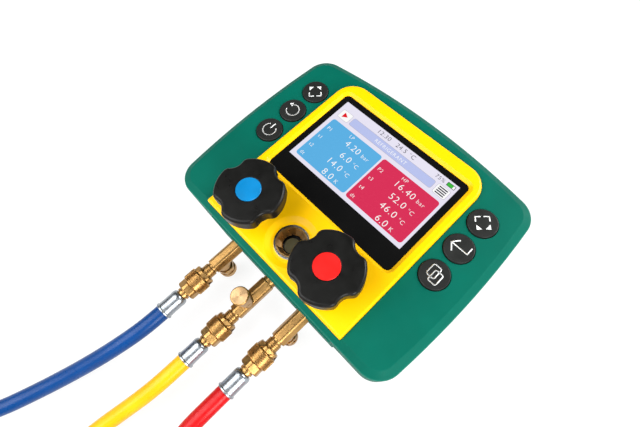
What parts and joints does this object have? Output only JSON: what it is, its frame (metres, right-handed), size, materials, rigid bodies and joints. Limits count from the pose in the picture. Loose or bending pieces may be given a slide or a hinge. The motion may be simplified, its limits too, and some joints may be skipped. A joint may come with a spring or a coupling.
{
  "type": "refrigerant manifold gauge",
  "caption": "Digital refrigerant manifold gauge: booted housing with display, hand valves and sight glass on a drilled block, with swivel-nut charging hoses coiled beside it.",
  "frame": {"origin": "on the flat back, under the middle of the housing, where it rests", "axes": "+Z out of the display, +X to the right as the display is read, +Y to the top of the display"},
  "size_m": [0.3099, 0.5331, 0.0821],
  "materials": {
    "boot_rubber": "satin",
    "housing_yellow": "gloss",
    "shell_dark": "satin",
    "black_glass": "gloss",
    "display": "lit",
    "board_green": "satin",
    "battery_sleeve": "gloss",
    "screw_steel": "plated",
    "block_metal": "machined",
    "brass": "machined",
    "plated": "satin",
    "zinc": "bright",
    "lens": "gloss",
    "knob_black": "satin",
    "cap_blue": "satin",
    "cap_red": "satin",
    "button_grey": "satin",
    "rod_steel": "plated",
    "hose_blue": "satin",
    "hose_yellow": "satin",
    "hose_red": "satin"
  },
  "bodies": {
    "housing": {"boot": "boot_rubber", "front_housing": "housing_yellow", "rear_shell": "shell_dark", "battery_door": "shell_dark", "battery_pack": "battery_sleeve", "case_screws": "screw_steel", "block_screws": "screw_steel", "window_glass": "black_glass", "display_module": "display", "circuit_board": "board_green", "manifold_block": "block_metal", "pressure_sensors": "plated", "sight_glass_nut": "brass", "sight_glass_bezel": "plated", "sight_glass_lens": "lens", "valve_bonnets": "plated", "valve_cores": "brass", "near_tails": "brass", "near_ferrules": "zinc", "adapter_blue": "brass", "hose_blue": "hose_blue", "coil_blue": "hose_blue", "far_tail_blue": "brass", "far_ferrule_blue": "zinc", "adapter_yellow": "brass", "hose_yellow": "hose_yellow", "coil_yellow": "hose_yellow", "far_tail_yellow": "brass", "far_ferrule_yellow": "zinc", "adapter_red": "brass", "hose_red": "hose_red", "coil_red": "hose_red", "far_tail_red": "brass", "far_ferrule_red": "zinc"},
    "piston_blue": {"piston_blue": "brass"},
    "knob_blue": {"knob_blue": "knob_black", "knob_cap_blue": "cap_blue", "knob_screw_blue": "screw_steel", "spindle_blue": "brass"},
    "piston_red": {"piston_red": "brass"},
    "knob_red": {"knob_red": "knob_black", "knob_cap_red": "cap_red", "knob_screw_red": "screw_steel", "spindle_red": "brass"},
    "button_select_left": {"button_select_left": "button_grey"},
    "button_refresh": {"button_refresh": "button_grey"},
    "button_power": {"button_power": "button_grey"},
    "button_select_right": {"button_select_right": "button_grey"},
    "button_return": {"button_return": "button_grey"},
    "button_pages": {"button_pages": "button_grey"},
    "near_nut_blue": {"near_nut_blue": "brass"},
    "stub_cap_blue": {"stub_cap_blue": "brass"},
    "far_nut_blue": {"far_nut_blue": "brass"},
    "near_nut_yellow": {"near_nut_yellow": "brass"},
    "stub_cap_yellow": {"stub_cap_yellow": "brass"},
    "far_nut_yellow": {"far_nut_yellow": "brass"},
    "near_nut_red": {"near_nut_red": "brass"},
    "stub_cap_red": {"stub_cap_red": "brass"},
    "far_nut_red": {"far_nut_red": "brass"},
    "hanging_hook": {"hanging_hook": "rod_steel"}
  },
  "joints": [
    {"name": "valve_lift_blue", "type": "slide", "parent": "housing", "child": "piston_blue", "axis": [0, 0, 1], "range_m": [0, 0.00187]},
    {"name": "valve_turn_blue", "type": "hinge", "parent": "piston_blue", "child": "knob_blue", "pos_m": [-0.0357, -0.0563, 0.06], "axis": [0, 0, 1], "range_deg": [0, 540]},
    {"name": "valve_lift_red", "type": "slide", "parent": "housing", "child": "piston_red", "axis": [0, 0, 1], "range_m": [0, 0.00187]},
    {"name": "valve_turn_red", "type": "hinge", "parent": "piston_red", "child": "knob_red", "pos_m": [0.0357, -0.0563, 0.06], "axis": [0, 0, 1], "range_deg": [0, 540]},
    {"name": "press_select_left", "type": "slide", "parent": "housing", "child": "button_select_left", "axis": [0, 0, -1], "range_m": [0, 0.0008], "stiffness_N_per_m": 400, "springref_m": -0.0005},
    {"name": "press_refresh", "type": "slide", "parent": "housing", "child": "button_refresh", "axis": [0, 0, -1], "range_m": [0, 0.0008], "stiffness_N_per_m": 400, "springref_m": -0.0005},
    {"name": "press_power", "type": "slide", "parent": "housing", "child": "button_power", "axis": [0, 0, -1], "range_m": [0, 0.0008], "stiffness_N_per_m": 400, "springref_m": -0.0005},
    {"name": "press_select_right", "type": "slide", "parent": "housing", "child": "button_select_right", "axis": [0, 0, -1], "range_m": [0, 0.0008], "stiffness_N_per_m": 400, "springref_m": -0.0005},
    {"name": "press_return", "type": "slide", "parent": "housing", "child": "button_return", "axis": [0, 0, -1], "range_m": [0, 0.0008], "stiffness_N_per_m": 400, "springref_m": -0.0005},
    {"name": "press_pages", "type": "slide", "parent": "housing", "child": "button_pages", "axis": [0, 0, -1], "range_m": [0, 0.0008], "stiffness_N_per_m": 400, "springref_m": -0.0005},
    {"name": "near_nut_blue_spin", "type": "hinge", "parent": "housing", "child": "near_nut_blue", "pos_m": [-0.0357, -0.1324, 0.028], "axis": [0, 1, 0], "continuous": true},
    {"name": "stub_cap_blue_spin", "type": "hinge", "parent": "housing", "child": "stub_cap_blue", "pos_m": [-0.0357, -0.1006, 0.0174], "axis": [0, 0, -1], "continuous": true},
    {"name": "far_nut_blue_spin", "type": "hinge", "parent": "housing", "child": "far_nut_blue", "pos_m": [-0.03002, -0.3462, 0.0206], "axis": [-0.3924, 0.9198, 0], "continuous": true},
    {"name": "near_nut_yellow_spin", "type": "hinge", "parent": "housing", "child": "near_nut_yellow", "pos_m": [0, -0.1418, 0.023], "axis": [0, 1, 0], "continuous": true},
    {"name": "stub_cap_yellow_spin", "type": "hinge", "parent": "housing", "child": "stub_cap_yellow", "pos_m": [0, -0.1056, 0.0336], "axis": [0, 0, 1], "continuous": true},
    {"name": "far_nut_yellow_spin", "type": "hinge", "parent": "housing", "child": "far_nut_yellow", "pos_m": [0.03643, -0.28065, 0.0206], "axis": [-0.9941, 0.1086, 0], "continuous": true},
    {"name": "near_nut_red_spin", "type": "hinge", "parent": "housing", "child": "near_nut_red", "pos_m": [0.0357, -0.1324, 0.028], "axis": [0, 1, 0], "continuous": true},
    {"name": "stub_cap_red_spin", "type": "hinge", "parent": "housing", "child": "stub_cap_red", "pos_m": [0.0357, -0.1006, 0.0174], "axis": [0, 0, -1], "continuous": true},
    {"name": "far_nut_red_spin", "type": "hinge", "parent": "housing", "child": "far_nut_red", "pos_m": [0.07208, -0.25525, 0.0322], "axis": [0.3867, -0.9222, 0], "continuous": true},
    {"name": "hook_swing", "type": "hinge", "parent": "housing", "child": "hanging_hook", "pos_m": [0, 0.066, 0.0033], "axis": [1, 0, 0], "range_deg": [0, 180]}
  ],
  "couplings": [
    {"joint": "valve_turn_blue", "follows": "valve_lift_blue", "rad_per_m": 5026.5},
    {"joint": "valve_turn_red", "follows": "valve_lift_red", "rad_per_m": 5026.5}
  ]
}
